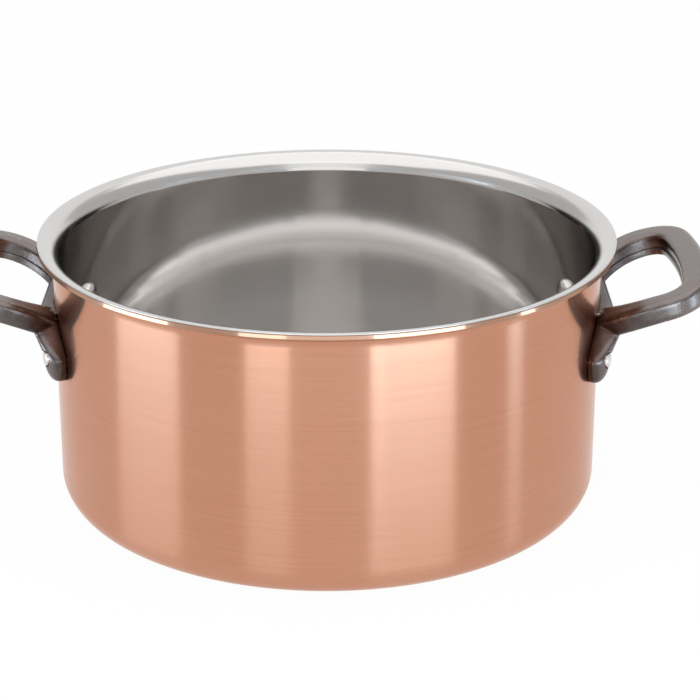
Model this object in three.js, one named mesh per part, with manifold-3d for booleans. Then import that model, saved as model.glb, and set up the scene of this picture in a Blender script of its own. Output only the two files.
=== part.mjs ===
// Copper casserole with a steel lining and two riveted cast-iron loop handles.
// Millimetres, +Z up. The origin is the middle of the base, on the surface that the pot stands on.
// The handles point along +X and -X.

import * as THREE from 'three';
import { mergeVertices } from 'three/addons/utils/BufferGeometryUtils.js';
import Module from 'manifold-3d';

// Pot
const WALL_RADIUS = 120; // outside of the straight copper wall
const POT_HEIGHT = 119.5; // base to the top of the rolled rim
const COPPER_THICKNESS = 1.8;
const LINING_THICKNESS = 0.5;
const BOND_CLEARANCE = 0.3; // between copper and lining
const CORNER_RADIUS = 13; // outside of the bend between base and wall
const RIM_BEND_RADIUS = 8.3; // inside face of the lining where it rolls outwards
const RIM_FLAT = 0.8; // level lip beyond the bend

// Rivets
const RIVET_ANGLE = 20; // degrees either side of the handle's middle
const RIVET_DROP = 15.7; // rivets below the loop's plane at the wall
const SHANK_DIAMETER = 5;
const OUTER_HEAD_OVERHANG = 0.8; // beyond the shank, all round
const OUTER_HEAD_HEIGHT = 1.1;
const INNER_HEAD_OVERHANG = 2.7; // beyond the shank, all round
const INNER_HEAD_HEIGHT = 3;
const RIVET_CLEARANCE = 0.3; // round the shank and under both heads
const SPOT_FACE_MARGIN = 0.6; // flat on the foot beyond the outer head

// Handle loop, laid out in its own plane, which rises outwards
const LOOP_BELOW_RIM = 27.4; // top of the rim to the loop's plane where it meets the wall
const LOOP_RISE = 17; // degrees
const LOOP_REACH = 42.8; // wall to the middle of the grip
const ARM_SPACING = 82; // between the arms where they bend into the grip
const ARM_ROOT_SPACING = 60; // between the arms at the wall
const GRIP_BEND_RADIUS = 15.5;
const GRIP_BOW_RADIUS = 180;
const BAR_WIDTH = 11.6;
const BAR_DEPTH = 9.4;
const BAR_SQUARENESS = 2.9; // 2 is an ellipse, larger is squarer
const ROOT_DROP = 4; // the arms dip towards the wall
const ROOT_SWELL = 0.5; // extra depth under the arms at the wall
const HANDLE_LEAN = 1; // degrees off level, as both handles were set by hand

// Handle feet and the bar along the wall
const FOOT_WIDTH = 13.4;
const FOOT_THICKNESS = 7.2; // over the wall, at the rivet
const FOOT_TAIL = 11; // rivet to the bottom of the foot
const LOBE_TURN = 85; // degrees of round at the bottom of the foot, up to its flat end
const LOBE_EDGE_THICKNESS = 2.2; // over the wall, at the bottom of the foot
const FOOT_TOP_THICKNESS = 12.5; // over the wall, where the foot meets the arm
const FOOT_FLARE = 1.5; // 1 thickens evenly up to the arm, larger thickens later
const WALL_BAR_THICKNESS = 6.3;
const WALL_BAR_DEPTH = 10.5;
const SEAT_CLEARANCE = 0.3; // between the handle and the copper wall

// Facets
const POT_SEGMENTS = 64;
const CORNER_STEPS = 5;
const RIM_STEPS = 4;
const RIVET_SEGMENTS = 16;
const DOME_STEPS = 4;
const SEAT_SEGMENTS = 144; // of the round that seats the handle on the wall
const SECTION_POINTS = 12;
const ARM_STEPS = 7;
const BEND_STEPS = 5;
const GRIP_STEPS = 3;
const WALL_BAR_STEPS = 10;
const STEM_STEPS = 4;
const LOBE_STEPS = 6;

// Places that follow from the sizes
const LINING_OUTER_DEPTH = COPPER_THICKNESS + BOND_CLEARANCE; // from the outside of the wall inwards
const LINING_INNER_DEPTH = LINING_OUTER_DEPTH + LINING_THICKNESS;
const LOOP_HEIGHT = POT_HEIGHT - LOOP_BELOW_RIM;
const ROOT_HEIGHT = LOOP_HEIGHT - ROOT_DROP; // middle of the arms and of the wall bar at the wall
const RIVET_HEIGHT = LOOP_HEIGHT - RIVET_DROP;
const RIVET_FLAT_RADIUS = WALL_RADIUS + FOOT_THICKNESS; // flat on the foot under the outer head
const RIVET_HOLE_DIAMETER = SHANK_DIAMETER + 2 * RIVET_CLEARANCE;
const OUTER_HEAD_DIAMETER = SHANK_DIAMETER + 2 * OUTER_HEAD_OVERHANG;
const INNER_HEAD_DIAMETER = SHANK_DIAMETER + 2 * INNER_HEAD_OVERHANG;
const BEYOND_WALL = 2 * WALL_RADIUS; // far enough out to pass everything on the wall

const degrees = THREE.MathUtils.degToRad;

const wasm = await Module();
wasm.setup();

/** Turns a closed geometry into a solid that can be joined and cut. */
function toSolid(geometry) {
  const bare = geometry.clone();
  bare.deleteAttribute('normal');
  bare.deleteAttribute('uv');
  const merged = mergeVertices(bare, 1e-4);
  const index = merged.index.array;
  const triangles = [];
  for (let i = 0; i < index.length; i += 3) {
    const [a, b, c] = index.slice(i, i + 3);
    if (a !== b && b !== c && c !== a) triangles.push(a, b, c);
  }
  return new wasm.Manifold(new wasm.Mesh({
    numProp: 3,
    vertProperties: new Float32Array(merged.attributes.position.array),
    triVerts: new Uint32Array(triangles),
  }));
}

/** Turns a solid back into a geometry. */
function toGeometry(solid) {
  const mesh = solid.getMesh();
  const geometry = new THREE.BufferGeometry();
  geometry.setAttribute('position', new THREE.BufferAttribute(new Float32Array(mesh.vertProperties), 3));
  geometry.setIndex(new THREE.BufferAttribute(new Uint32Array(mesh.triVerts), 1));
  geometry.computeVertexNormals();
  return geometry;
}

/** Points of a circular arc in a profile, both ends included. */
function arc(centreX, centreY, radius, startDegrees, endDegrees, steps) {
  return Array.from({ length: steps + 1 }, (_, i) => {
    const angle = degrees(startDegrees + ((endDegrees - startDegrees) * i) / steps);
    return new THREE.Vector2(centreX + radius * Math.cos(angle), centreY + radius * Math.sin(angle));
  });
}

/** Joins rings of points, each with as many points, into a closed skin with flat ends. */
function skinRings(rings) {
  const count = rings[0].length;
  const positions = rings.flat().flatMap((p) => [p.x, p.y, p.z]);
  const index = [];
  for (let r = 0; r + 1 < rings.length; r += 1) {
    for (let k = 0; k < count; k += 1) {
      const next = (k + 1) % count;
      const [a, b] = [r * count + k, r * count + next];
      const [c, d] = [a + count, b + count];
      index.push(a, b, d, a, d, c);
    }
  }
  const lastRing = (rings.length - 1) * count;
  for (let k = 1; k + 1 < count; k += 1) {
    index.push(0, k + 1, k);
    index.push(lastRing, lastRing + k, lastRing + k + 1);
  }
  const geometry = new THREE.BufferGeometry();
  geometry.setAttribute('position', new THREE.Float32BufferAttribute(positions, 3));
  geometry.setIndex(index);
  return geometry;
}

/** Outline of a bar's section: offsets across and through the bar, rounded between ellipse and box. */
function barSection(width, depth) {
  return Array.from({ length: SECTION_POINTS }, (_, i) => {
    const angle = (2 * Math.PI * (i + 0.5)) / SECTION_POINTS;
    const round = (value) => Math.sign(value) * Math.abs(value) ** (2 / BAR_SQUARENESS);
    return new THREE.Vector2((round(Math.cos(angle)) * width) / 2, (round(Math.sin(angle)) * depth) / 2);
  });
}

/** A sheet of the pot between two depths, measured inwards from the outside of the wall. */
function sheetProfile(outerDepth, innerDepth) {
  const bendX = WALL_RADIUS - LINING_INNER_DEPTH + RIM_BEND_RADIUS;
  const bendY = POT_HEIGHT - RIM_BEND_RADIUS;
  const cornerX = WALL_RADIUS - CORNER_RADIUS;
  const rimRadius = (depth) => RIM_BEND_RADIUS - LINING_INNER_DEPTH + depth;
  const lip = (depth) => new THREE.Vector2(bendX + RIM_FLAT, bendY + rimRadius(depth));
  return [
    new THREE.Vector2(0, outerDepth),
    ...arc(cornerX, CORNER_RADIUS, CORNER_RADIUS - outerDepth, -90, 0, CORNER_STEPS),
    ...arc(bendX, bendY, rimRadius(outerDepth), 180, 90, RIM_STEPS),
    lip(outerDepth),
    lip(innerDepth),
    ...arc(bendX, bendY, rimRadius(innerDepth), 90, 180, RIM_STEPS),
    ...arc(cornerX, CORNER_RADIUS, CORNER_RADIUS - innerDepth, 0, -90, CORNER_STEPS),
    new THREE.Vector2(0, innerDepth),
  ];
}

/** A turned solid about Z from a profile of radius and height. */
function turned(profile, segments) {
  return toSolid(new THREE.LatheGeometry(profile, segments).rotateX(Math.PI / 2));
}

/** The rivets of one handle, in the handle's frame: side, turn about Z and height, once the handle leans. */
function rivetPlaces() {
  return [['front', -1], ['back', 1]].map(([side, sign]) => {
    const angle = degrees(RIVET_ANGLE * sign);
    const across = WALL_RADIUS * Math.sin(angle);
    const turn = Math.asin(Math.sin(angle) * Math.cos(degrees(HANDLE_LEAN)));
    return { side, turn, height: RIVET_HEIGHT + across * Math.sin(degrees(HANDLE_LEAN)) };
  });
}

/** A round bar that points outwards through the wall at a rivet's place. */
function radialBar(diameter, from, to, { turn, height }) {
  const bar = new THREE.CylinderGeometry(diameter / 2, diameter / 2, to - from, RIVET_SEGMENTS);
  bar.rotateZ(-Math.PI / 2).translate((from + to) / 2, 0, 0).rotateZ(turn).translate(0, 0, height);
  return toSolid(bar);
}

/** A sheet of the pot with the holes for all four rivets. */
function potSheet(outerDepth, innerDepth) {
  let sheet = turned(sheetProfile(outerDepth, innerDepth), POT_SEGMENTS);
  for (const handleTurn of [0, Math.PI]) {
    for (const { turn, height } of rivetPlaces()) {
      const place = { turn: turn + handleTurn, height };
      sheet = sheet.subtract(radialBar(RIVET_HOLE_DIAMETER, 0, BEYOND_WALL, place));
    }
  }
  return toGeometry(sheet);
}

/** Centre line of half the loop in its plane, from inside the wall along the front arm to mid grip. */
function halfLoop() {
  const armY = ARM_SPACING / 2;
  const bendY = armY - GRIP_BEND_RADIUS;
  const gripCentre = LOOP_REACH - GRIP_BOW_RADIUS;
  const bendX = gripCentre + Math.sqrt((GRIP_BOW_RADIUS - GRIP_BEND_RADIUS) ** 2 - bendY ** 2);
  const bendEnd = THREE.MathUtils.radToDeg(Math.asin(bendY / (GRIP_BOW_RADIUS - GRIP_BEND_RADIUS)));
  const splay = (ARM_SPACING - ARM_ROOT_SPACING) / 2;
  const rootX = Math.sqrt(WALL_RADIUS ** 2 - armY ** 2) - WALL_RADIUS;
  const arm = Array.from({ length: ARM_STEPS }, (_, i) => {
    const x = rootX + ((bendX - rootX) * i) / ARM_STEPS;
    const left = (bendX - x) / bendX;
    return new THREE.Vector3(x, -(armY - splay * left ** 2), left);
  });
  const flat = ({ x, y }) => new THREE.Vector3(x, y, 0);
  const bend = arc(bendX, -bendY, GRIP_BEND_RADIUS, -90, -bendEnd, BEND_STEPS).map(flat);
  const grip = arc(gripCentre, 0, GRIP_BOW_RADIUS, -bendEnd, 0, GRIP_STEPS).slice(1).map(flat);
  return [...arm, ...bend, ...grip];
}

/** The arms and grip as one bent bar. The z of a centre point is its share of the dip at the root. */
function loopSolid() {
  const half = halfLoop();
  const mirrored = half.slice(0, -1).reverse().map(({ x, y, z }) => new THREE.Vector3(x, -y, z));
  const line = [...half, ...mirrored];
  const outwards = new THREE.Vector3(Math.cos(degrees(LOOP_RISE)), 0, Math.sin(degrees(LOOP_RISE)));
  const upwards = new THREE.Vector3(-outwards.z, 0, outwards.x);
  const start = new THREE.Vector3(WALL_RADIUS, 0, LOOP_HEIGHT);
  const rings = line.map((point, i) => {
    const before = line[Math.max(i - 1, 0)];
    const after = line[Math.min(i + 1, line.length - 1)];
    const along = new THREE.Vector2(after.x - before.x, after.y - before.y).normalize();
    const dip = point.z ** 2;
    return barSection(BAR_WIDTH, BAR_DEPTH).map((offset) => {
      const deep = offset.y < 0 ? 1 + (ROOT_SWELL * dip) / (BAR_DEPTH / 2) : 1;
      const inPlane = new THREE.Vector2(point.x - along.y * offset.x, point.y + along.x * offset.x);
      return start.clone()
        .addScaledVector(outwards, inPlane.x)
        .addScaledVector(upwards, offset.y * deep - ROOT_DROP * dip)
        .add(new THREE.Vector3(0, inPlane.y, 0));
    });
  });
  return toSolid(skinRings(rings));
}

/** The bar that lies along the wall between the feet. */
function wallBarSolid() {
  const reach = Math.asin(ARM_ROOT_SPACING / 2 / WALL_RADIUS);
  const rings = Array.from({ length: WALL_BAR_STEPS + 1 }, (_, i) => {
    const turn = -reach + (2 * reach * i) / WALL_BAR_STEPS;
    return barSection(2 * WALL_BAR_THICKNESS, WALL_BAR_DEPTH).map(({ x, y }) => (
      new THREE.Vector3(WALL_RADIUS - x, 0, ROOT_HEIGHT + y).applyAxisAngle(new THREE.Vector3(0, 0, 1), turn)
    ));
  });
  return toSolid(skinRings(rings));
}

/** One foot: a rounded leaf down the wall, thick under the arm and ending in a round lobe at the rivet. */
function footSolid(sign) {
  const rootTurn = Math.asin(ARM_ROOT_SPACING / 2 / WALL_RADIUS);
  const stem = Array.from({ length: STEM_STEPS }, (_, i) => {
    const rise = 1 - i / STEM_STEPS;
    return { height: RIVET_HEIGHT + (ROOT_HEIGHT - RIVET_HEIGHT) * rise, rise, width: 1 };
  });
  const lobe = Array.from({ length: LOBE_STEPS + 1 }, (_, i) => {
    const angle = degrees((LOBE_TURN * i) / LOBE_STEPS);
    return { height: RIVET_HEIGHT - FOOT_TAIL * Math.sin(angle), rise: 0, width: Math.cos(angle) };
  });
  const rings = [...stem, ...lobe].map(({ height, rise, width }) => {
    const turn = sign * THREE.MathUtils.lerp(degrees(RIVET_ANGLE), rootTurn, rise);
    const middle = THREE.MathUtils.lerp(FOOT_THICKNESS, FOOT_TOP_THICKNESS, rise ** FOOT_FLARE);
    const thickness = THREE.MathUtils.lerp(LOBE_EDGE_THICKNESS, middle, width);
    return barSection(FOOT_WIDTH * width, 2 * thickness).map(({ x, y }) => (
      new THREE.Vector3(WALL_RADIUS + y, x, height).applyAxisAngle(new THREE.Vector3(0, 0, 1), turn)
    ));
  });
  return toSolid(skinRings(rings));
}

/** One handle, pointing along +X, leant, seated on the wall and drilled for its rivets. */
function handleGeometry() {
  const shape = loopSolid().add(wallBarSolid()).add(footSolid(-1)).add(footSolid(1));
  const leant = toGeometry(shape)
    .translate(0, 0, -RIVET_HEIGHT).rotateX(degrees(HANDLE_LEAN)).translate(0, 0, RIVET_HEIGHT);
  const wall = new THREE.CylinderGeometry(
    WALL_RADIUS + SEAT_CLEARANCE, WALL_RADIUS + SEAT_CLEARANCE, 2 * POT_HEIGHT, SEAT_SEGMENTS,
  ).rotateX(Math.PI / 2);
  let handle = toSolid(leant).subtract(toSolid(wall));
  for (const place of rivetPlaces()) {
    const spotFace = OUTER_HEAD_DIAMETER + 2 * SPOT_FACE_MARGIN;
    handle = handle.subtract(radialBar(RIVET_HOLE_DIAMETER, 0, BEYOND_WALL, place));
    handle = handle.subtract(radialBar(spotFace, RIVET_FLAT_RADIUS, BEYOND_WALL, place));
  }
  return toGeometry(handle);
}

/** One rivet along +X, as far from the axis as the wall and foot that it holds. */
function rivetGeometry() {
  const innerRadius = INNER_HEAD_DIAMETER / 2;
  const insideWall = Math.sqrt((WALL_RADIUS - LINING_INNER_DEPTH) ** 2 - innerRadius ** 2);
  const innerSeat = insideWall - RIVET_CLEARANCE;
  const outerSeat = RIVET_FLAT_RADIUS + RIVET_CLEARANCE;
  const dome = (seat, radius, height) => Array.from({ length: DOME_STEPS + 1 }, (_, i) => {
    const angle = (Math.PI / 2) * (i / DOME_STEPS);
    return new THREE.Vector2(radius * Math.cos(angle), seat + height * Math.sin(angle));
  });
  const profile = [
    ...dome(innerSeat, innerRadius, -INNER_HEAD_HEIGHT).reverse(),
    new THREE.Vector2(SHANK_DIAMETER / 2, innerSeat),
    new THREE.Vector2(SHANK_DIAMETER / 2, outerSeat),
    ...dome(outerSeat, OUTER_HEAD_DIAMETER / 2, OUTER_HEAD_HEIGHT),
  ];
  return toGeometry(toSolid(new THREE.LatheGeometry(profile, RIVET_SEGMENTS).rotateZ(-Math.PI / 2)));
}

const copper = new THREE.MeshStandardMaterial({ color: 0xd49a78, roughness: 0.3, metalness: 1 });
const lining = new THREE.MeshStandardMaterial({ color: 0xb9b5b1, roughness: 0.3, metalness: 1 });
const castIron = new THREE.MeshStandardMaterial({ color: 0x4f4644, roughness: 0.6, metalness: 0.7 });
const rivetSteel = new THREE.MeshStandardMaterial({ color: 0xc9c4be, roughness: 0.25, metalness: 1 });

/** A named mesh with its own copy of a material. */
function piece(name, geometry, material) {
  const mesh = new THREE.Mesh(geometry, material.clone());
  mesh.name = name;
  return mesh;
}

const casserole = new THREE.Group();
casserole.add(piece('copper_shell', potSheet(0, COPPER_THICKNESS), copper));
casserole.add(piece('steel_lining', potSheet(LINING_OUTER_DEPTH, LINING_INNER_DEPTH), lining));

const handleShape = handleGeometry();
const rivetShape = rivetGeometry();
for (const [side, turn] of [['right', 0], ['left', Math.PI]]) {
  const handleSide = new THREE.Group();
  handleSide.rotation.z = turn;
  handleSide.add(piece(`handle_${side}`, handleShape, castIron));
  for (const place of rivetPlaces()) {
    // The left handle is the right one turned half way round, so its front rivet is the right one's back.
    const facing = { front: 'back', back: 'front' };
    const end = turn === 0 ? place.side : facing[place.side];
    const rivet = piece(`rivet_${side}_${end}`, rivetShape, rivetSteel);
    rivet.rotation.z = place.turn;
    rivet.position.z = place.height;
    handleSide.add(rivet);
  }
  casserole.add(handleSide);
}

export default casserole;
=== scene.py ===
"""Copper casserole with a steel lining and riveted cast-iron loop handles.

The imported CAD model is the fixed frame. Every piece here replaces one CAD node, in metres, +Z up, with the
origin in the middle of the base. The main sizes are the CAD model's own. The fits between its pieces are
closed, and the castings and the lining's bottom corner have a finer form here.
"""

import logging
import math
from contextlib import contextmanager
from dataclasses import dataclass
from enum import Enum
from typing import Any, Callable, ClassVar, Iterator, Sequence

import bpy
from mathutils import Matrix, Vector

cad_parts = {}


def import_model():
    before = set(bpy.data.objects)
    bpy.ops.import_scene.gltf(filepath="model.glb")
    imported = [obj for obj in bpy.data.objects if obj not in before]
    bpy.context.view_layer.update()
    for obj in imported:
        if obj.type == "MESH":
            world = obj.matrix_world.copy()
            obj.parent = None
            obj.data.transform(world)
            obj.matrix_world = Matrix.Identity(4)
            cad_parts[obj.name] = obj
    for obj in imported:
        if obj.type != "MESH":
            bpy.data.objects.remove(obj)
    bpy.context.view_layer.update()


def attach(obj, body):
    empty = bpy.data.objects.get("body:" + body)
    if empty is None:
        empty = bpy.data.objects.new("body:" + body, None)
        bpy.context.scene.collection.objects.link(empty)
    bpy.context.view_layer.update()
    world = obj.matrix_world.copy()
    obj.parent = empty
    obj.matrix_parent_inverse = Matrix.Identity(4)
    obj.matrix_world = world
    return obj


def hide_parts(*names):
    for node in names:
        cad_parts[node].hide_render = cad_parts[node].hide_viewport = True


LOG = logging.getLogger("casserole")
BODY = "root"

Point = tuple[float, float, float]
ProfilePoint = tuple[float, float]
Colour = tuple[float, float, float, float]
Piece = bpy.types.Object

ORIGIN: Point = (0.0, 0.0, 0.0)


class Slot(Enum):
    """The record's material slots."""

    COPPER = "copper"
    LINING = "lining_steel"
    IRON = "cast_iron"
    RIVET = "rivet_steel"


class Side(Enum):
    """The two handles, each with its turn about the pot's axis in degrees."""

    RIGHT = ("right", 0.0)
    LEFT = ("left", 180.0)

    @property
    def label(self) -> str:
        """The word that names this side in the CAD nodes."""
        return self.value[0]

    @property
    def turn(self) -> float:
        """The handle's turn about the pot's axis, in radians."""
        return math.radians(self.value[1])


# Shader graphs

def operator_forms(operation: str) -> tuple[Callable[..., "Signal"], Callable[..., "Signal"]]:
    """An operator of Signal and its reflected form.

    Args:
        operation: The Math node's operation.

    Returns:
        Both methods.
    """

    def plain(self: "Signal", other: Any) -> "Signal":
        """The operation on this signal and another value."""
        return self.maths(operation, self, other)

    def reflected(self: "Signal", other: Any) -> "Signal":
        """The operation on another value and this signal."""
        return self.maths(operation, other, self)

    return plain, reflected


class Signal:
    """A shader socket that takes part in Python expressions."""

    __add__, __radd__ = operator_forms("ADD")
    __sub__, __rsub__ = operator_forms("SUBTRACT")
    __mul__, __rmul__ = operator_forms("MULTIPLY")
    __truediv__, __rtruediv__ = operator_forms("DIVIDE")
    __pow__, __rpow__ = operator_forms("POWER")

    def __init__(self, graph: "ShaderGraph", socket: bpy.types.NodeSocket) -> None:
        """Wraps an output socket of a graph, which new nodes are added to."""
        self.graph = graph
        self.socket = socket

    def maths(self, operation: str, first: Any, second: Any) -> "Signal":
        """The result of a Math node's operation on two values or signals."""
        return self.graph.node("ShaderNodeMath", {"operation": operation}, {0: first, 1: second})

    def at_least(self, other: Any) -> "Signal":
        """The larger of this signal and another."""
        return self.maths("MAXIMUM", self, other)


class ShaderGraph:
    """The node tree of one material or of the world."""

    def __init__(self, tree: bpy.types.NodeTree) -> None:
        """Empties the node tree of a material or world and starts afresh."""
        self.tree = tree
        tree.nodes.clear()

    def node(
        self,
        kind: str,
        settings: dict[str, Any] | None = None,
        inputs: dict[Any, Any] | None = None,
        output: Any = 0,
    ) -> Signal | None:
        """Adds any node.

        Args:
            kind: The node's type.
            settings: Properties that are set first.
            inputs: Values or signals by socket name or number.
            output: Name or number of the output that is returned.

        Returns:
            The chosen output, or nothing for a node without outputs.
        """
        node = self.tree.nodes.new(kind)
        for key, value in (settings or {}).items():
            setattr(node, key, value)
        for key, value in (inputs or {}).items():
            if isinstance(value, Signal):
                self.tree.links.new(value.socket, node.inputs[key])
            else:
                node.inputs[key].default_value = value
        return Signal(self, node.outputs[output]) if node.outputs else None

    def output(self, signal: Signal, name: str) -> Signal:
        """Another output of the node that a signal comes from."""
        return Signal(self, signal.socket.node.outputs[name])

    def place(self) -> Signal:
        """The place on the piece, in object coordinates."""
        return self.node("ShaderNodeTexCoord", output="Object")

    def axes(self, vector: Signal | None = None) -> tuple[Signal, Signal, Signal]:
        """The parts of a vector along x, y and z; of the place on the piece if none is given."""
        x = self.node("ShaderNodeSeparateXYZ", inputs={0: vector or self.place()}, output="X")
        return x, self.output(x, "Y"), self.output(x, "Z")

    def radius(self) -> Signal:
        """The distance from the pot's axis."""
        x, y, _ = self.axes()
        return (x * x + y * y) ** 0.5

    def noise(self, vector: Signal, scale: float, detail: float = 2.0, roughness: float = 0.5) -> Signal:
        """Noise from 0 to 1, read at a vector, with its octaves and how much the finer ones count."""
        inputs = {"Vector": vector, "Scale": scale, "Detail": detail, "Roughness": roughness}
        return self.node("ShaderNodeTexNoise", inputs=inputs)

    def between(self, value: Signal, low: float, high: float) -> Signal:
        """A smooth step that leaves 0 where a value is low and reaches 1 where it is high."""
        settings = {"interpolation_type": "SMOOTHSTEP"}
        return self.node("ShaderNodeMapRange", settings, {"Value": value, "From Min": low, "From Max": high})

    def mixed(self, share: Any, first: Any, second: Any) -> Signal:
        """A mix of two colours: the first at a share of 0, the second at a share of 1."""
        return self.node("ShaderNodeMix", {"data_type": "RGBA"}, {0: share, 6: first, 7: second}, output=2)

    def hairlines(self, lengthwise: float, across: float) -> Signal:
        """Brush lines that run round the pot's axis, on walls and on flat discs alike.

        Args:
            lengthwise: How often a line changes along its run, per metre.
            across: Lines per metre across the brushing.

        Returns:
            The lines, from 0 to 1.
        """
        x, y, z = self.axes()
        inputs = {0: x * lengthwise, 1: y * lengthwise, 2: (z + self.radius()) * across}
        return self.noise(self.node("ShaderNodeCombineXYZ", inputs=inputs), 1.0)

    def brushed_tone(self, fine: Signal, broad: Signal, cloud_scale: float) -> Signal:
        """The tone of a brushed sheet, from its fine and broad lines and from soft clouds."""
        clouds = self.noise(self.place(), cloud_scale)
        return self.between(fine * 0.5 + broad * 0.3 + clouds * 0.2, 0.3, 0.7)

    @staticmethod
    def varied(middle: Any, spread: float, noise: Signal) -> Signal:
        """A value that a noise spreads about its middle."""
        return middle - spread / 2 + noise * spread

    def bump(self, height: Signal, strength: float, distance: float, below: Signal | None = None) -> Signal:
        """The normal of a relief, a distance deep in metres, over another relief's normal if there is one."""
        inputs = {"Strength": strength, "Distance": distance, "Height": height}
        return self.node("ShaderNodeBump", inputs=inputs | ({"Normal": below} if below else {}))

    def surface(self, **sockets: Any) -> Signal:
        """The main shader, from values or signals by its sockets' names, with _ for a space."""
        inputs = {name.replace("_", " "): value for name, value in sockets.items()}
        return self.node("ShaderNodeBsdfPrincipled", inputs=inputs)

    def finish(self, shader: Signal, output: str = "ShaderNodeOutputMaterial") -> None:
        """Links a shader to the graph's output, a node of the given type."""
        self.node(output, inputs={"Surface": shader})


class Finish:
    """A surface that becomes a material of its own."""

    name: ClassVar[str]

    def shader(self, graph: ShaderGraph) -> Signal:
        """The shader that each finish builds in a graph."""
        raise NotImplementedError

    def build(self) -> bpy.types.Material:
        """The finish as a material."""
        material = bpy.data.materials.new(self.name)
        material.use_nodes = True
        graph = ShaderGraph(material.node_tree)
        graph.finish(self.shader(graph))
        return material


@dataclass(frozen=True)
class BrushedCopper(Finish):
    """Polished copper, brushed round the pot, with a thin clear skin and a duller cut edge at the lip."""

    name: ClassVar[str] = "brushed_copper"
    bright: Colour = (0.575, 0.165, 0.045, 1.0)
    deep: Colour = (0.535, 0.140, 0.026, 1.0)
    bright_lines: Colour = (0.575, 0.345, 0.252, 1.0)
    deep_lines: Colour = (0.535, 0.315, 0.228, 1.0)
    edge: Colour = (0.45, 0.245, 0.155, 1.0)
    grazing: Colour = (0.86, 0.66, 0.56, 1.0)
    edge_start: float = 0.1256
    edge_end: float = 0.1260
    polish: float = 0.09
    brushing: float = 0.265
    brushed_share: float = 0.55
    roughness_spread: float = 0.02
    brush_stretch: float = 1.0
    brush_turn: float = 0.25
    skin: float = 0.7
    skin_roughness: float = 0.3
    fine_lines: tuple[float, float] = (20.0, 2600.0)
    broad_lines: tuple[float, float] = (7.0, 900.0)
    cloud_scale: float = 18.0
    line_depth: float = 2e-6

    def shader(self, graph: ShaderGraph) -> Signal:
        """A polished and a brushed lobe, mixed."""
        fine = graph.hairlines(*self.fine_lines)
        broad = graph.hairlines(*self.broad_lines)
        tone = graph.brushed_tone(fine, broad, self.cloud_scale)
        lip = graph.between(graph.radius(), self.edge_start, self.edge_end)
        lobes = [
            graph.surface(
                Base_Color=graph.mixed(lip, graph.mixed(tone, deep, bright), self.edge),
                Metallic=1.0,
                Roughness=graph.varied(roughness, self.roughness_spread, broad),
                Specular_Tint=self.grazing,
                Anisotropic=self.brush_stretch,
                Anisotropic_Rotation=self.brush_turn,
                Coat_Weight=self.skin,
                Coat_Roughness=self.skin_roughness,
                Normal=graph.bump(fine, 1.0, self.line_depth),
            )
            for roughness, deep, bright in (
                (self.polish, self.deep, self.bright),
                (self.brushing, self.deep_lines, self.bright_lines),
            )
        ]
        return graph.node("ShaderNodeMixShader", inputs={0: self.brushed_share, 1: lobes[0], 2: lobes[1]})


@dataclass(frozen=True)
class SatinLining(Finish):
    """Satin stainless steel, brushed round the pot: softer on the base, greyer over the rolled rim."""

    name: ClassVar[str] = "satin_lining_steel"
    bright: Colour = (0.72, 0.702, 0.689, 1.0)
    deep: Colour = (0.67, 0.653, 0.64, 1.0)
    rim_tone: Colour = (0.645, 0.635, 0.625, 1.0)
    wall_roughness: float = 0.08
    base_roughness: float = 0.25
    base_end: float = 0.1035
    base_fade: float = 0.006
    rim_roughness: float = 0.2
    rim_start: float = 0.1120
    rim_end: float = 0.1135
    roughness_spread: float = 0.02
    brush_stretch: float = 0.45
    fine_lines: tuple[float, float] = (20.0, 2200.0)
    broad_lines: tuple[float, float] = (7.0, 800.0)
    cloud_scale: float = 16.0
    line_depth: float = 0.5e-6

    def shader(self, graph: ShaderGraph) -> Signal:
        """Brushed steel that changes from the base to the wall and from the wall to the rim."""
        fine = graph.hairlines(*self.fine_lines)
        broad = graph.hairlines(*self.broad_lines)
        tone = graph.brushed_tone(fine, broad, self.cloud_scale)
        rim = graph.between(graph.axes()[2], self.rim_start, self.rim_end)
        wall = graph.between(graph.radius(), self.base_end, self.base_end + self.base_fade)
        sheet = graph.mixed(tone, self.deep, self.bright)
        inside = self.base_roughness + wall * (self.wall_roughness - self.base_roughness)
        brushed = graph.varied(inside, self.roughness_spread, broad)
        return graph.surface(
            Base_Color=graph.mixed(rim, sheet, self.rim_tone),
            Metallic=1.0,
            Roughness=brushed + rim * (self.rim_roughness - self.wall_roughness),
            Anisotropic=self.brush_stretch,
            Normal=graph.bump(fine, 1.0, self.line_depth),
        )


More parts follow.
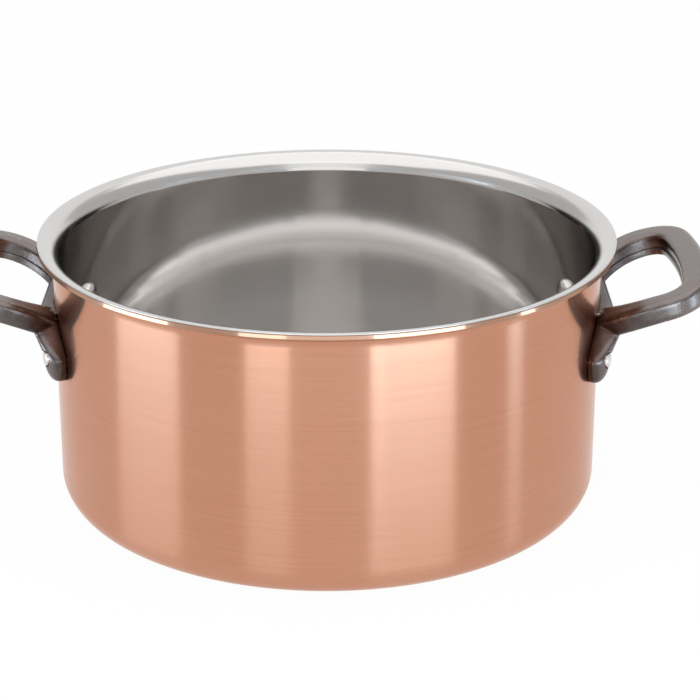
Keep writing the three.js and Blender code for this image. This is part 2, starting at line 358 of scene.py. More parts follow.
@dataclass(frozen=True)
class CastIron(Finish):
    """Unpainted sand-cast iron: dark by the pot and paler along the grip as painted shade, paler on top and
    outside as painted light with hand wear, and palest on its edges as painted highlights with wear.
    """

    name: ClassVar[str] = "bare_cast_iron"
    # Painted shade: the dark skin lies by the pot's wall and the pale skin along the grip, out of that shade.
    dark: Colour = (0.070, 0.056, 0.053, 1.0)
    pale: Colour = (0.190, 0.160, 0.152, 1.0)
    # Painted light on the top and outer faces, mixed with hand wear.
    top_lit_and_rubbed: Colour = (0.225, 0.192, 0.182, 1.0)
    # Painted highlights on the sharp edges, mixed with wear, and sparse pale specks.
    worn: Colour = (0.42, 0.375, 0.355, 1.0)
    clear_start: float = 0.1212
    clear_end: float = 0.1262
    grip_start: float = 0.126
    grip_end: float = 0.166
    grip_wander: float = 0.016
    blotch_scale: float = 160.0
    grain_scale: float = 900.0
    sand_scale: float = 2600.0
    edge_start: float = 0.515
    edge_end: float = 0.575
    roughness: float = 0.29
    roughness_spread: float = 0.12
    edge_polish: float = 0.06
    grain_depth: float = 0.0002
    sand_depth: float = 0.00006

    def shader(self, graph: ShaderGraph) -> Signal:
        """A blotched skin, with painted shade by the pot, painted light mixed with hand wear on top and
        outside where hands reach it, and painted highlights with wear on its edges.
        """
        place = graph.place()
        blotch = graph.noise(place, self.blotch_scale, 3.0, 0.6)
        grain = graph.noise(place, self.grain_scale, 3.0, 0.65)
        sand = graph.noise(place, self.sand_scale)
        pointiness = graph.node("ShaderNodeNewGeometry", output="Pointiness")
        edge = graph.between(pointiness, self.edge_start, self.edge_end)
        x, y, _ = graph.axes()
        away, aside, up = graph.axes(graph.output(pointiness, "Normal"))
        radius = graph.radius()
        outward = (away * x + aside * y) / radius
        # Painted light with hand wear: faces turned up or outwards, clear of the wall and most on the grip,
        # take a paler tone.
        lit_side = graph.between(outward.at_least(up) + blotch * 0.3, 0.4, 1.0)
        # Painted shade: the skin is dark by the pot's wall and pales out along the grip, mixed with blotches.
        grip_start, grip_end = (end + self.grip_wander / 2 for end in (self.grip_start, self.grip_end))
        grip = graph.between(radius + blotch * self.grip_wander, grip_start, grip_end)
        skin = graph.mixed(grip * 0.8 + graph.between(blotch, 0.35, 0.7) * 0.2, self.dark, self.pale)
        clear = graph.between(radius, self.clear_start, self.clear_end)
        top_lit_and_rubbing = lit_side * clear * (0.7 + 0.3 * grip) * (0.75 + grain * 0.5)
        skin = graph.mixed(top_lit_and_rubbing, skin, self.top_lit_and_rubbed)
        # Painted highlights with wear: sharp edges take the palest tone where the grain allows; sparse pale
        # specks come from the sand noise.
        highlit_and_bare = (edge * graph.between(grain, 0.3, 0.6)).at_least(graph.between(sand, 0.64, 0.8) * 0.15)
        return graph.surface(
            Base_Color=graph.mixed(highlit_and_bare, skin, self.worn),
            Metallic=1.0,
            Roughness=graph.varied(self.roughness, self.roughness_spread, grain) - edge * self.edge_polish,
            Normal=graph.bump(sand, 0.2, self.sand_depth, graph.bump(grain, 0.35, self.grain_depth)),
        )


@dataclass(frozen=True)
class RivetSteel(Finish):
    """Bright rivet steel, faintly hammered."""

    name: ClassVar[str] = "bright_rivet_steel"
    bright: Colour = (0.80, 0.775, 0.745, 1.0)
    dull: Colour = (0.62, 0.585, 0.55, 1.0)
    dent_scale: float = 420.0
    dent_depth: float = 0.0003
    grain_scale: float = 1800.0
    grain_depth: float = 0.00008
    roughness: float = 0.3
    roughness_spread: float = 0.1

    def shader(self, graph: ShaderGraph) -> Signal:
        """Steel with dents and a fine grain."""
        place = graph.place()
        dents = graph.noise(place, self.dent_scale)
        grain = graph.noise(place, self.grain_scale, 3.0)
        tone = graph.between(dents * 0.5 + grain * 0.5, 0.35, 0.65)
        return graph.surface(
            Base_Color=graph.mixed(tone, self.dull, self.bright),
            Metallic=1.0,
            Roughness=graph.varied(self.roughness, self.roughness_spread, grain),
            Normal=graph.bump(grain, 0.3, self.grain_depth, graph.bump(dents, 0.6, self.dent_depth)),
        )


@dataclass(frozen=True)
class WhiteFloor(Finish):
    """A plain white floor that still takes a soft shadow."""

    name: ClassVar[str] = "white_floor_paper"
    paper: Colour = (0.9, 0.9, 0.9, 1.0)
    white: Colour = (1.0, 1.0, 1.0, 1.0)
    glow: float = 0.96

    def shader(self, graph: ShaderGraph) -> Signal:
        """White to whoever looks at it, and plain paper to the light."""
        path = seen = graph.node("ShaderNodeLightPath", output="Is Camera Ray")
        for kind in ("Is Glossy Ray", "Is Transmission Ray"):
            seen = seen.at_least(graph.output(path, kind))
        paper = graph.node("ShaderNodeBsdfDiffuse", inputs={"Color": self.paper})
        glow = graph.node("ShaderNodeEmission", inputs={"Color": self.white, "Strength": 1.0})
        return graph.node("ShaderNodeMixShader", inputs={0: seen * self.glow, 1: paper, 2: glow})


# Modelling

def select_only(obj: Piece) -> None:
    """Selects one object alone and makes it active."""
    bpy.ops.object.select_all(action="DESELECT")
    obj.select_set(True)
    bpy.context.view_layer.objects.active = obj


def add_mesh(name: str, add: Callable[..., Any], **settings: Any) -> Piece:
    """Adds a plain mesh under a name.

    Args:
        name: The object's name.
        add: The operator that adds it.
        **settings: The operator's settings.

    Returns:
        The new object.
    """
    bpy.ops.object.select_all(action="DESELECT")
    add(**settings)
    obj = bpy.context.object
    obj.name = obj.data.name = name
    return obj


@contextmanager
def editing(obj: Piece) -> Iterator[None]:
    """Opens a piece in edit mode with all of it selected.

    Args:
        obj: The piece.

    Yields:
        Nothing. Edit mode ends with the block.
    """
    select_only(obj)
    bpy.ops.object.mode_set(mode="EDIT")
    bpy.ops.mesh.select_mode(type="VERT")
    bpy.ops.mesh.select_all(action="SELECT")
    yield
    bpy.ops.object.mode_set(mode="OBJECT")


def extrude(offset: Point) -> None:
    """Draws out what is selected in edit mode."""
    bpy.ops.mesh.extrude_region_move(TRANSFORM_OT_translate={"value": offset})


def close_up(obj: Piece) -> None:
    """Merges doubles, fills open ends and turns every face outwards."""
    with editing(obj):
        bpy.ops.mesh.remove_doubles(threshold=1e-6)
        bpy.ops.mesh.select_all(action="SELECT")
        bpy.ops.mesh.fill_holes(sides=0)
        bpy.ops.mesh.select_all(action="SELECT")
        bpy.ops.mesh.normals_make_consistent(inside=False)


def settle(obj: Piece, turn: Point = ORIGIN, place: Point = ORIGIN) -> None:
    """Turns and places an object, then puts that and its scale into its mesh.

    Args:
        obj: The object.
        turn: Its turn about X, Y and Z in radians.
        place: Its place.
    """
    obj.rotation_euler = turn
    obj.location = place
    select_only(obj)
    bpy.ops.object.transform_apply(location=True, rotation=True, scale=True)


def turned(name: str, profile: Sequence[ProfilePoint], steps: int) -> Piece:
    """A piece turned about Z.

    Args:
        name: The piece's name.
        profile: Radius and height of each point, from the axis round to the axis.
        steps: Facets round the axis.

    Returns:
        The closed piece.
    """
    obj = add_mesh(name, bpy.ops.mesh.primitive_plane_add, size=0.01)
    with editing(obj):
        bpy.ops.mesh.merge(type="CENTER")
        bpy.ops.transform.translate(value=(profile[0][0], 0.0, profile[0][1]))
        for (r0, z0), (r1, z1) in zip(profile, profile[1:]):
            bpy.ops.mesh.extrude_vertices_move(TRANSFORM_OT_translate={"value": (r1 - r0, 0.0, z1 - z0)})
        bpy.ops.mesh.select_all(action="SELECT")
        bpy.ops.mesh.spin(steps=steps, angle=math.tau, center=(0.0, 0.0, 0.0), axis=(0.0, 0.0, 1.0))
    close_up(obj)
    return obj


def section(
    name: str, width: float, depth: float, corner: float, place: Point, turn: Point, segments: int = 6,
) -> Piece:
    """The rounded outline of a bar's section, ready to be drawn out.

    Args:
        name: The object's name.
        width: Size along the outline's own X.
        depth: Size along its own Y.
        corner: Radius of its corners.
        place: Its middle.
        turn: Its turn about X, Y and Z in radians.
        segments: Steps of each corner.

    Returns:
        The open outline.
    """
    obj = add_mesh(name, bpy.ops.mesh.primitive_plane_add, size=1.0)
    obj.scale = (width, depth, 1.0)
    settle(obj)
    with editing(obj):
        bpy.ops.mesh.bevel(offset=corner, segments=segments, affect="VERTICES")
        bpy.ops.mesh.delete(type="ONLY_FACE")
    settle(obj, turn, place)
    return obj


def shape(obj: Piece, move: Callable[[Vector], Vector]) -> None:
    """Moves every point of a mesh by a rule.

    Args:
        obj: The piece.
        move: Gives a point's new place.
    """
    for vertex in obj.data.vertices:
        vertex.co = move(vertex.co.copy())
    obj.data.update()


def modify(obj: Piece, kind: str, **settings: Any) -> None:
    """Adds a modifier and applies it.

    Args:
        obj: The piece.
        kind: The modifier's type.
        **settings: Its properties.
    """
    select_only(obj)
    modifier = obj.modifiers.new(kind.lower(), kind)
    for key, value in settings.items():
        setattr(modifier, key, value)
    bpy.ops.object.modifier_apply(modifier=modifier.name)


def combine(obj: Piece, tool: Piece, operation: str) -> None:
    """Adds or cuts away another solid, which is used up, by UNION or DIFFERENCE."""
    modify(obj, "BOOLEAN", operation=operation, solver="MANIFOLD", object=tool)
    bpy.data.objects.remove(tool, do_unlink=True)


def fuse(obj: Piece, others: Sequence[Piece], voxel: float) -> None:
    """Joins other objects to a piece and makes all their shells one skin of even faces.

    Args:
        obj: The piece.
        others: What is joined to it, if anything.
        voxel: The faces' size.
    """
    select_only(obj)
    for other in others:
        other.select_set(True)
    if others:
        bpy.ops.object.join()
    obj.data.remesh_voxel_size = voxel
    bpy.ops.object.voxel_remesh()


def cylinder(name: str, radius: float, length: float, facets: int) -> Piece:
    """A cylinder along Z, with its middle at the origin."""
    add = bpy.ops.mesh.primitive_cylinder_add
    return add_mesh(name, add, radius=radius, depth=length, vertices=facets)


def duplicate(obj: Piece, name: str) -> Piece:
    """A copy with its own mesh.

    Args:
        obj: What is copied.
        name: The copy's name.

    Returns:
        The copy.
    """
    twin = obj.copy()
    twin.data = obj.data.copy()
    twin.name = twin.data.name = name
    bpy.context.collection.objects.link(twin)
    return twin


def dress(obj: Piece, material: bpy.types.Material, smooth_below: float) -> None:
    """Gives a piece its material and its smooth shading.

    Args:
        obj: The piece.
        material: The finish.
        smooth_below: Edges that turn by less than this many degrees are smooth.
    """
    obj.data.materials.clear()
    obj.data.materials.append(material)
    select_only(obj)
    bpy.ops.object.shade_smooth_by_angle(angle=math.radians(smooth_below))


def fix(obj: Piece, node: str) -> None:
    """Sets a finished piece on the frame in a CAD node's stead.

    Args:
        obj: The piece.
        node: The CAD node that it replaces.
    """
    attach(obj, BODY)
    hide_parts(node)
    LOG.info("%s stands for %s: %d faces", obj.name, node, len(obj.data.polygons))


def blend(first: float, last: float, share: float) -> float:
    """The value a share of the way from the first to the last."""
    return first + (last - first) * share


def spaced(start: float, end: float, steps: int) -> list[float]:
    """Evenly spaced values from start to end, both among them."""
    return [start + (end - start) * i / steps for i in range(steps + 1)]


def arc(centre: ProfilePoint, radius: float, start: float, end: float, steps: int) -> list[ProfilePoint]:
    """Points of an arc in a profile, both ends included, with angles in degrees from outwards to upwards."""
    angles = [math.radians(angle) for angle in spaced(start, end, steps)]
    return [(centre[0] + radius * math.cos(a), centre[1] + radius * math.sin(a)) for a in angles]


@dataclass(frozen=True)
class Sheet:
    """One layer of the pot's wall: its depths are measured inwards from the outside of the wall."""

    name: str
    node: str
    slot: Slot
    finish: Finish
    outer: float
    inner: float
    edge_round: float
    inside_corner: float
    crease_turn: float


@dataclass(frozen=True)
class Pot:
    """The pot's two sheets: copper outside, steel inside, rolled out together at the rim."""

    wall_radius: float = 0.120
    height: float = 0.1195
    copper_depth: float = 0.00206
    lining_start: float = 0.0021
    lining_depth: float = 0.0026
    corner_radius: float = 0.013
    lining_corner: float = 0.0148
    rim_bend_radius: float = 0.0083
    rim_flat: float = 0.0008
    copper_edge_round: float = 0.0004
    lining_edge_round: float = 0.0002
    lip_lean: float = 0.12
    crease_turn: float = 10.0
    crease_depth: float = 0.0001
    crease_height: float = 0.0004
    crease_drop: float = 0.0008
    support: float = 0.0006
    smooth_below: float = 12.0
    straight_steps: int = 5
    turned_steps: int = 256
    corner_steps: int = 24
    rim_steps: int = 16
    edge_steps: int = 8

    def profile(self, sheet: Sheet) -> list[ProfilePoint]:
        """The profile of one sheet, with points close beside each bend to keep the flat parts flat.

        Args:
            sheet: The sheet.

        Returns:
            Radius and height of each point, from the middle of the base out over the lip and back inside.
        """
        outer, inner, edge_round = sheet.outer, sheet.inner, sheet.edge_round
        bend = (
            self.wall_radius - self.lining_depth + self.rim_bend_radius,
            self.height - self.rim_bend_radius,
        )
        lip = bend[0] + self.rim_flat
        under, over = (self.rim_bend_radius - self.lining_depth + depth for depth in (outer, inner))
        low, high = bend[1] + under, bend[1] + over
        low_lip, high_lip = (lip - self.lip_lean * depth - edge_round for depth in (outer, inner))
        outside_corner = (self.wall_radius - self.corner_radius, self.corner_radius)
        inside = self.wall_radius - inner
        inside_corner = (inside - sheet.inside_corner, inner + sheet.inside_corner)
        steps, gap = self.straight_steps, self.support
        outside_rows = spaced(outside_corner[1] + gap, bend[1] - gap, steps)
        inside_rows = spaced(bend[1] - gap, inside_corner[1] + gap, steps)
        crease = ()
        if sheet.crease_turn:
            crease = self._crease(inside, bend[1] + over * math.sin(math.radians(sheet.crease_turn)))
        return [
            *((r, outer) for r in spaced(0.0, outside_corner[0] - gap, steps)),
            *arc(outside_corner, self.corner_radius - outer, -90, 0, self.corner_steps),
            *((self.wall_radius - outer, z) for z in outside_rows),
            *arc(bend, under, 180, 90, self.rim_steps),
            *arc((low_lip, low + edge_round), edge_round, -90, 0, self.edge_steps),
            *arc((high_lip, high - edge_round), edge_round, 0, 90, self.edge_steps),
            *arc(bend, over, 90, 180 - sheet.crease_turn, self.rim_steps),
            *crease,
            *((inside, z) for z in inside_rows),
            *arc(inside_corner, sheet.inside_corner, 0, -90, self.corner_steps),
            *((r, inner) for r in spaced(inside_corner[0] - gap, 0.0, steps)),
        ]

    def _crease(self, inside: float, height: float) -> tuple[ProfilePoint, ProfilePoint]:
        """Ridge and foot of the fine crease inside, under the height where the rim begins to roll."""
        ridge = height - self.crease_drop
        return (inside - self.crease_depth, ridge), (inside, ridge - self.crease_height)

    def build(self) -> None:
        """Turns, dresses and fixes both sheets."""
        copper = Sheet(
            "copper_pot", "copper_shell", Slot.COPPER, BrushedCopper(), 0.0, self.copper_depth,
            self.copper_edge_round, self.corner_radius - self.copper_depth, 0.0,
        )
        lining = Sheet(
            "lining_of_pot", "steel_lining", Slot.LINING, SatinLining(), self.lining_start, self.lining_depth,
            self.lining_edge_round, self.lining_corner, self.crease_turn,
        )
        for sheet in (copper, lining):
            piece = turned(sheet.name, self.profile(sheet), self.turned_steps)
            dress(piece, sheet.finish.build(), self.smooth_below)
            fix(piece, sheet.node)


@dataclass(frozen=True)
class RivetPlace:
    """Where one rivet of a handle sits, in the handle's own frame."""

    turn: float
    height: float


@dataclass(frozen=True)
class LoopHandle:
    """A cast loop: two arms and a grip, a bar along the wall and two feet with a rivet each."""

    wall_radius: float = Pot.wall_radius
    seat_clearance: float = 0.00003
    seat_length: float = 0.4
    seat_facets: int = 512
    loop_height: float = 0.0921
    loop_rise: float = 17.0
    loop_reach: float = 0.0428
    arm_spacing: float = 0.082
    arm_root_spacing: float = 0.060
    arm_sink: float = 0.009
    grip_bend_radius: float = 0.0155
    grip_bow_radius: float = 0.180
    bar_width: float = 0.0118
    bar_depth: float = 0.0096
    bar_corner: float = 0.0027
    root_drop: float = 0.004
    root_height: float = 0.0881
    rivet_height: float = 0.0764
    rivet_angle: float = 20.0
    lean: float = 1.0
    foot_width: float = 0.0128
    foot_top_width: float = 0.0092
    foot_draft: float = 0.0016
    foot_thickness: float = 0.0084
    foot_top_thickness: float = 0.0120
    foot_flare: float = 1.3
    foot_bend: float = 1.5
    foot_tail: float = 0.0112
    foot_sink: float = 0.0010
    foot_tuck: float = 0.0020
    foot_top_tuck: float = 0.0040
    foot_tuck_height: float = 0.0022
    foot_crown_height: float = 0.0016
    foot_flank_rise: float = 1.3
    lobe_edge_thickness: float = 0.0026
    lobe_turn: float = 85.0
    wall_bar_face: float = 0.1247
    wall_bar_depth: float = 0.0088
    wall_bar_corner: float = 0.0016
    spot_face_radius: float = 0.0039
    spot_face_reach: float = 0.1272
    spot_face_length: float = 0.1128
    spot_face_facets: int = 64
    ledge_depth: float = 0.0030
    ledge_width: float = 0.0024
    ledge_corner: float = 0.0003
    ledge_drop: float = 0.0033
    ledge_overlap: float = 0.0003
    voxel: float = 0.00050
    smoothing_rounds: int = 5
    unevenness: float = 0.00016
    unevenness_size: float = 0.007
    smooth_below: float = 40.0
    arm_steps: int = 24
    bend_steps: int = 24
    grip_steps: int = 16
    foot_rows: int = 32
    foot_points: int = 64

    @property
    def bend_x(self) -> float:
        """Where the arms end and bend into the grip, out from the wall."""
        bend_y = self.arm_spacing / 2 - self.grip_bend_radius
        bow = self.grip_bow_radius - self.grip_bend_radius
        return self.loop_reach - self.grip_bow_radius + math.sqrt(bow ** 2 - bend_y ** 2)

    @property
    def root_turn(self) -> float:
        """Turn about the pot's axis of an arm's root, in radians."""
        return math.asin(self.arm_root_spacing / 2 / self.wall_radius)

    def rivet_places(self) -> tuple[RivetPlace, RivetPlace]:
        """The front and back rivet's places, once the handle leans."""
        places = []
        for sign in (-1, 1):
            angle = math.radians(self.rivet_angle) * sign
            across = self.wall_radius * math.sin(angle)
            turn = math.asin(math.sin(angle) * math.cos(math.radians(self.lean)))
            places.append(RivetPlace(turn, self.rivet_height + across * math.sin(math.radians(self.lean))))
        return places[0], places[1]

    def _along_loop(self, outline: Piece, heading: float) -> None:
        """Draws an outline along the front arm and half the grip, then mirrors it.

        Args:
            outline: An outline that stands at the front arm's root.
            heading: How far the arm turns from its root to the bend, in radians.
        """
        arm_y = self.arm_spacing / 2
        bend_y = arm_y - self.grip_bend_radius
        arm_radius = self.bend_x / math.sin(heading)
        bow_end = math.asin(bend_y / (self.grip_bow_radius - self.grip_bend_radius))
        sunk = Vector((math.cos(heading), -math.sin(heading), 0.0)) * self.arm_sink
        with editing(outline):
            extrude(tuple(sunk))
            for centre, turn, steps in (
                ((self.bend_x, arm_radius - arm_y, 0.0), heading, self.arm_steps),
                ((self.bend_x, -bend_y, 0.0), math.pi / 2 - bow_end, self.bend_steps),
                ((self.loop_reach - self.grip_bow_radius, 0.0, 0.0), bow_end, self.grip_steps),
            ):
                bpy.ops.mesh.spin(steps=steps, angle=-turn, center=centre, axis=(0.0, 0.0, 1.0))
        modify(outline, "MIRROR", use_axis=(False, True, False), merge_threshold=1e-5)
        close_up(outline)
        shape(outline, self._dipped)
        rise = (0.0, -math.radians(self.loop_rise), 0.0)
        settle(outline, rise, (self.wall_radius, 0.0, self.loop_height))

    def _dipped(self, point: Vector) -> Vector:
        """A point of the flat loop, lowered so that the arms dip towards the wall."""
        left = max((self.bend_x - point.x) / self.bend_x, 0.0)
        return Vector((point.x, point.y, point.z - self.root_drop * left ** 2))

    def _swept_loop(
        self, name: str, width: float, depth: float, corner: float, aside: float = 0.0, lift: float = 0.0,
    ) -> Piece:
        """A bar of any section that follows the loop.

        Args:
            name: Its name.
            width: Its size in the loop's plane.
            depth: Its size across the plane.
            corner: Rounding of its section.
            aside: How far it lies inside the loop's middle line.
            lift: How far it lies above it.

        Returns:
            The closed bar.
        """
        splay = (self.arm_spacing - self.arm_root_spacing) / 2
        heading = 2 * math.atan(splay / self.bend_x)
        along = Vector((math.cos(heading), -math.sin(heading), 0.0))
        left = Vector((math.sin(heading), math.cos(heading), 0.0))
        root = Vector((0.0, -self.arm_root_spacing / 2, lift)) - along * self.arm_sink + left * aside
        turn = (math.pi / 2, 0.0, math.pi / 2 - heading)
        outline = section(name, width, depth, corner, tuple(root), turn)
        self._along_loop(outline, heading)
        return outline

    def _wall_bar(self) -> Piece:
        """The straight bar between the feet, which the wall is cut out of later."""
        inside = self.wall_radius - self.wall_bar_depth
        reach = self.arm_root_spacing / 2
        outline = section(
            "wall_bar", self.wall_bar_face - inside, self.wall_bar_depth, self.wall_bar_corner,
            ((self.wall_bar_face + inside) / 2, -reach, self.root_height), (math.pi / 2, 0.0, 0.0),
        )
        with editing(outline):
            extrude((0.0, 2 * reach, 0.0))
        close_up(outline)
        return outline

    def _foot_section(self, angle: float, half: float, thickness: float, share: float) -> ProfilePoint:
        """A point of one side of the foot's section: crown, flat flank, tuck and flat against the wall.

        Args:
            angle: Goes round the section, from 0 on top of the crown to pi in the middle of the wall side.
            half: Half the section's width.
            thickness: How far the crown stands out from the wall.
            share: 0 where there is no flank, at the rivet and on the inner side, to 1 under the arm.

        Returns:
            How far the point lies aside and out from the wall.
        """
        slim = min(2 * half / self.foot_width, 1.0)
        tuck_height = self.foot_tuck_height * slim
        tuck = blend(self.foot_tuck, self.foot_top_tuck, share) * slim
        rise = thickness - tuck_height
        top = half - self.foot_draft * share
        crown = min(blend(rise, self.foot_crown_height, share ** self.foot_flank_rise), top)
        corners = (
            (math.pi / 3, (top, thickness - crown)),
            (math.pi / 2, (half - tuck / 5, tuck_height)),
            (math.pi * 3 / 4, (half - tuck, -self.foot_sink)),
            (math.pi, (0.0, -self.foot_sink)),
        )
        if angle <= corners[0][0]:
            bend = (top ** 2 + crown ** 2) / (2 * crown)
            swing = 2 * math.atan(crown / top) * angle / corners[0][0]
            return bend * math.sin(swing), thickness - bend * (1 - math.cos(swing))
        for (start, first), (end, last) in zip(corners, corners[1:]):
            if angle <= end + 1e-6:
                along = (angle - start) / (end - start)
                return blend(first[0], last[0], along), blend(first[1], last[1], along)
        return corners[-1][1]

    def _foot_place(self, point: Vector, sign: int) -> Vector:
        """Where a point of a plain round bar belongs on the foot.

        Args:
            point: A point of a bar of radius 1 that stands from the foot's bottom, at 0, to its top, at 1.
            sign: -1 for the front foot, 1 for the back one.

        Returns:
            Its place on the foot: crowned, flat-flanked on the outer side under the arm, tucked at the wall.
        """
        low = self.rivet_height - self.foot_tail
        height = blend(low, self.root_height, point.z)
        share = min(max((height - self.rivet_height) / (self.root_height - self.rivet_height), 0.0), 1.0)
        lobe_end = math.sin(math.radians(self.lobe_turn))
        sine = min(max((self.rivet_height - height) / self.foot_tail, 0.0), lobe_end)
        wide = math.sqrt(1 - sine ** 2)
        flare = share ** self.foot_flare
        thickness = blend(self.foot_thickness, self.foot_top_thickness, flare)
        thickness = blend(self.lobe_edge_thickness, thickness, wide)
        half = blend(self.foot_width, self.foot_top_width, share) * wide / 2
        flank = share if point.y * sign > 0 else 0.0
        across, out = self._foot_section(math.atan2(abs(point.y), point.x), half, thickness, flank)
        bent = share ** self.foot_bend
        turn = math.radians(self.rivet_angle) * (1 - bent) + self.root_turn * bent
        place = Vector((self.wall_radius + out, math.copysign(across, point.y), height))
        return Matrix.Rotation(sign * turn, 3, "Z") @ place

    def _foot(self, sign: int) -> Piece:
        """One foot: a leaf down the wall, flat-sided under the arm and ending in a round lobe at the rivet.

        Args:
            sign: -1 for the front foot, 1 for the back one.

        Returns:
            The closed foot.
        """
        foot = add_mesh("foot", bpy.ops.mesh.primitive_circle_add, vertices=self.foot_points, radius=1.0)
        with editing(foot):
            for _ in range(self.foot_rows):
                extrude((0.0, 0.0, 1.0 / self.foot_rows))
        shape(foot, lambda point: self._foot_place(point, sign))
        close_up(foot)
        return foot

    def _seat(self, casting: Piece) -> None:
        """Cuts the round of the wall out of a casting."""
        radius = self.wall_radius + self.seat_clearance
        wall = cylinder("wall_cutter", radius, self.seat_length, self.seat_facets)
        combine(casting, wall, "DIFFERENCE")

    def _lean_over(self, casting: Piece) -> None:
        """Leans a casting off level about the height of its rivets."""
        lift = Matrix.Translation((0.0, 0.0, self.rivet_height))
        casting.data.transform(lift @ Matrix.Rotation(math.radians(self.lean), 4, "X") @ lift.inverted())

    def casting(self) -> Piece:
        """The finished casting of the right handle, on the wall and ready to be dressed."""
        casting = self._swept_loop("casting", self.bar_width, self.bar_depth, self.bar_corner)
        fuse(casting, (self._wall_bar(), self._foot(-1), self._foot(1)), self.voxel)
        self._lean_over(casting)
        self._seat(casting)
        fuse(casting, (), self.voxel)
        modify(casting, "SMOOTH", factor=0.5, iterations=self.smoothing_rounds)
        clouds = bpy.data.textures.new("casting_unevenness", "CLOUDS")
        clouds.noise_scale = self.unevenness_size
        modify(casting, "DISPLACE", texture=clouds, texture_coords="LOCAL", strength=self.unevenness)
        ledge = self._swept_loop(
            "parting_ledge", self.ledge_width, self.ledge_depth, self.ledge_corner,
            aside=self.bar_width / 2 - self.ledge_overlap, lift=-self.ledge_drop,
        )
        self._lean_over(ledge)
        combine(casting, ledge, "UNION")
        for place in self.rivet_places():
            length = self.spot_face_length
            flat = cylinder("spot_face", self.spot_face_radius, length, self.spot_face_facets)
            settle(flat, (0.0, math.pi / 2, 0.0), (self.spot_face_reach + length / 2, 0.0, 0.0))
            settle(flat, (0.0, 0.0, place.turn), (0.0, 0.0, place.height))
            combine(casting, flat, "DIFFERENCE")
        self._seat(casting)
        return casting

    def build(self) -> None:
        """Builds, dresses and fixes both handles."""
        casting = self.casting()
        finish = CastIron().build()
        for side in Side:
            handle = duplicate(casting, f"iron_handle_{side.label}")
            settle(handle, (0.0, 0.0, side.turn))
            dress(handle, finish, self.smooth_below)
            fix(handle, f"handle_{side.label}")
        bpy.data.objects.remove(casting, do_unlink=True)


@dataclass(frozen=True)
class Rivets:
    """The four rivets: flat buttons outside, bright domes inside."""

    handle: LoopHandle = LoopHandle()
    shank_radius: float = 0.0025
    inner_seat: float = 0.1175
    inner_radius: float = 0.0052
    inner_edge: float = 0.0006
    inner_top: float = 0.11398
    outer_seat: float = 0.1270
    outer_radius: float = 0.0033
    outer_top: float = 0.1286
    outer_edge: float = 0.0007
    outer_edge_turn: float = 80.0
    outer_crown: float = 0.0003
    crown_shoulder: float = 0.4
    shoulder_crown: float = 0.00024
    dome_steps: int = 10
    edge_steps: int = 6
    turned_steps: int = 48
    smooth_below: float = 40.0

    def profile(self) -> list[ProfilePoint]:
        """Radius and place along the rivet of each point of its profile."""
        dome_base = self.inner_seat - self.inner_edge
        dome_height = dome_base - self.inner_top
        dome = [
            (self.inner_radius * across, dome_base - dome_height * along)
            for across, along in arc((0.0, 0.0), 1.0, 90, 0, self.dome_steps)
        ]
        dome[0] = (0.0, dome[0][1])
        edge = (self.outer_radius - self.outer_edge, self.outer_top - self.outer_edge)
        return [
            *dome,
            (self.inner_radius, self.inner_seat),
            (self.shank_radius, self.inner_seat),
            (self.shank_radius, self.outer_seat),
            (self.outer_radius, self.outer_seat),
            *arc(edge, self.outer_edge, 0, self.outer_edge_turn, self.edge_steps),
            (self.outer_radius * self.crown_shoulder, self.outer_top + self.shoulder_crown),
            (0.0, self.outer_top + self.outer_crown),
        ]

    def build(self) -> None:
        """Builds, dresses and fixes all four rivets."""
        rivet = turned("rivet", self.profile(), self.turned_steps)
        settle(rivet, (0.0, math.pi / 2, 0.0))
        finish = RivetSteel().build()
        for side in Side:
            ends = ("front", "back") if side is Side.RIGHT else ("back", "front")
            for end, place in zip(ends, self.handle.rivet_places()):
                piece = duplicate(rivet, f"steel_rivet_{side.label}_{end}")
                settle(piece, (0.0, 0.0, side.turn + place.turn), (0.0, 0.0, place.height))
                dress(piece, finish, self.smooth_below)
                fix(piece, f"rivet_{side.label}_{end}")
        bpy.data.objects.remove(rivet, do_unlink=True)


# Studio

def soft_light(name: str, width: float, height: float, radiance: float) -> Piece:
    """A rectangular light that the camera doesn't see.

    Args:
        name: Its name.
        width: Its size along its own X.
        height: Its size along its own Y.
        radiance: How bright its face is.

    Returns:
        The light, still at the origin.
    """
    lamp = bpy.data.lights.new(name, "AREA")
    lamp.shape = "RECTANGLE"
    lamp.size, lamp.size_y = width, height
    lamp.energy = radiance * width * height * math.pi
    light = bpy.data.objects.new(name, lamp)
    light.visible_camera = False
    bpy.context.collection.objects.link(light)
    return light


@dataclass(frozen=True)
class LightPanel:
    """A soft light: an upright panel round the pot, facing its axis."""

    name: str
    left: float
    right: float
    bottom: float
    top: float
    distance: float
    radiance: float
    tint: Point = (0.79, 1.0, 1.15)

    def build(self) -> None:
        """Sets the panel up."""
        middle = math.radians((self.left + self.right) / 2)
        width = 2 * self.distance * math.tan(math.radians((self.right - self.left) / 2))
        panel = soft_light(self.name, width, self.top - self.bottom, self.radiance)
        panel.data.color = self.tint
        panel.location = (
            self.distance * math.sin(middle),
            -self.distance * math.cos(middle),
            (self.bottom + self.top) / 2,
        )
        panel.rotation_euler = (math.pi / 2, 0.0, middle)


@dataclass(frozen=True)
class Softbox:
    """A large soft light that faces the pot."""

    name: str
    place: Point
    size: tuple[float, float]
    radiance: float

    def build(self) -> None:
        """Sets the softbox up."""
        box = soft_light(self.name, *self.size, self.radiance)
        box.location = self.place
        box.rotation_euler = (-Vector(self.place)).to_track_quat("-Z", "Y").to_euler()


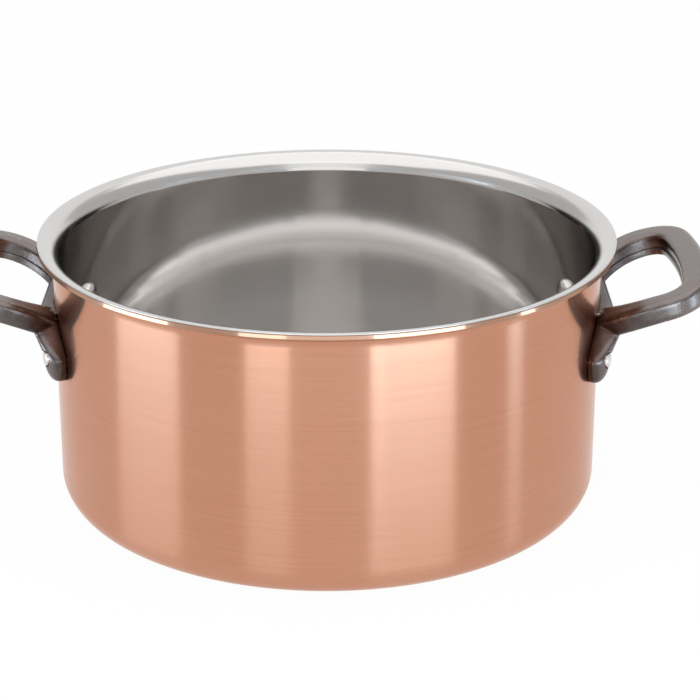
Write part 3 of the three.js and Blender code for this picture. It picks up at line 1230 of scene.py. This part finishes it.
@dataclass(frozen=True)
class Studio:
    """A plain white floor, soft lights and the camera."""

    floor_width: float = 14.0
    floor_strips: int = 5
    floor_front: float = -7.0
    floor_back: float = 2.4
    backdrop_height: float = 4.0
    backdrop_bend: float = 0.8
    backdrop_steps: int = 16
    smooth_below: float = 30.0
    camera_place: Point = (0.0, -0.91581, 0.42521)
    camera_pitch: float = 21.565
    camera_yaw: float = 0.631
    camera_roll: float = 0.097
    lens: float = 113.075
    sensor: float = 36.0
    room_light: Colour = (0.58, 0.58, 0.58, 1.0)
    mirror_bounces: int = 12
    panels: tuple[LightPanel, ...] = (
        LightPanel("panel_far_left", -82.4, -54.2, 0.005, 0.17, 0.5, 5.9),
        LightPanel("panel_left", -27.9, -12.8, 0.005, 0.16, 0.42, 3.6),
        LightPanel("panel_middle", -12.8, 14.6, 0.08, 0.16, 0.42, 1.2),
        LightPanel("strip_middle", 14.6, 19.3, 0.005, 0.16, 0.42, 1.5, (0.7, 1.0, 1.3)),
        LightPanel("panel_right", 14.6, 44.6, 0.005, 0.16, 0.42, 5.7),
        LightPanel("strip_right", 68.0, 74.4, 0.005, 0.17, 0.5, 5.2, (0.68, 1.0, 1.25)),
    )
    softboxes: tuple[Softbox, ...] = (
        Softbox("overhead_softbox", (0.0, -0.1, 1.5), (2.6, 2.6), 0.80),
        Softbox("front_softbox", (0.0, -1.4, 0.78), (1.0, 1.2), 0.6),
    )

    def build(self) -> None:
        """Sets up floor, lights, room and camera."""
        scene = bpy.context.scene
        scene.view_settings.view_transform = "Standard"
        scene.cycles.max_bounces = scene.cycles.glossy_bounces = self.mirror_bounces
        self._floor()
        for light in (*self.panels, *self.softboxes):
            light.build()
        world = bpy.data.worlds.new("studio_room")
        world.use_nodes = True
        graph = ShaderGraph(world.node_tree)
        room = graph.node("ShaderNodeBackground", inputs={"Color": self.room_light, "Strength": 1.0})
        graph.finish(room, "ShaderNodeOutputWorld")
        scene.world = world
        self._camera()

    def _floor(self) -> None:
        """Lays the floor in strips, the middle one of which sweeps up into a backdrop behind the pot."""
        strips = {"x_subdivisions": self.floor_strips, "y_subdivisions": 1, "size": 1.0}
        floor = add_mesh("studio_floor", bpy.ops.mesh.primitive_grid_add, **strips)
        floor.scale = (self.floor_width, self.floor_back - self.floor_front, 1.0)
        settle(floor, place=(0.0, (self.floor_back + self.floor_front) / 2, 0.0))
        self._pick_back_edge(floor)
        extrude((0.0, 0.0, self.backdrop_height))
        bpy.ops.object.mode_set(mode="OBJECT")
        self._pick_back_edge(floor)
        bpy.ops.mesh.bevel(offset=self.backdrop_bend, segments=self.backdrop_steps, affect="EDGES")
        bpy.ops.object.mode_set(mode="OBJECT")
        dress(floor, WhiteFloor().build(), self.smooth_below)

    @staticmethod
    def _pick_back_edge(floor: Piece) -> None:
        """Opens the floor for editing with only the middle strip's back edge on the ground selected."""
        with editing(floor):
            bpy.ops.mesh.select_mode(type="EDGE")
            bpy.ops.mesh.select_all(action="DESELECT")
        for edge in floor.data.edges:
            ends = [floor.data.vertices[i].co for i in edge.vertices]
            middle = abs(ends[0].x + ends[1].x) < 1e-4
            edge.select = middle and all(end.y > 0.0 and end.z < 1e-6 for end in ends)
        bpy.ops.object.mode_set(mode="EDIT")

    def _camera(self) -> None:
        """Sets the camera at the photograph's place and angle."""
        camera = bpy.data.cameras.new("camera")
        camera.lens = self.lens
        camera.sensor_width = self.sensor
        obj = bpy.data.objects.new("camera", camera)
        turn = (
            Matrix.Rotation(-math.radians(self.camera_yaw), 4, "Z")
            @ Matrix.Rotation(math.radians(90 - self.camera_pitch), 4, "X")
            @ Matrix.Rotation(math.radians(self.camera_roll), 4, "Z")
        )
        obj.matrix_world = Matrix.Translation(self.camera_place) @ turn
        bpy.context.collection.objects.link(obj)
        bpy.context.scene.camera = obj


def main() -> None:
    """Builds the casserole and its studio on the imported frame."""
    logging.basicConfig(level=logging.INFO, format="%(name)s: %(message)s")
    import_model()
    Studio().build()
    Pot().build()
    LoopHandle().build()
    Rivets().build()


if __name__ == "__main__":
    main()
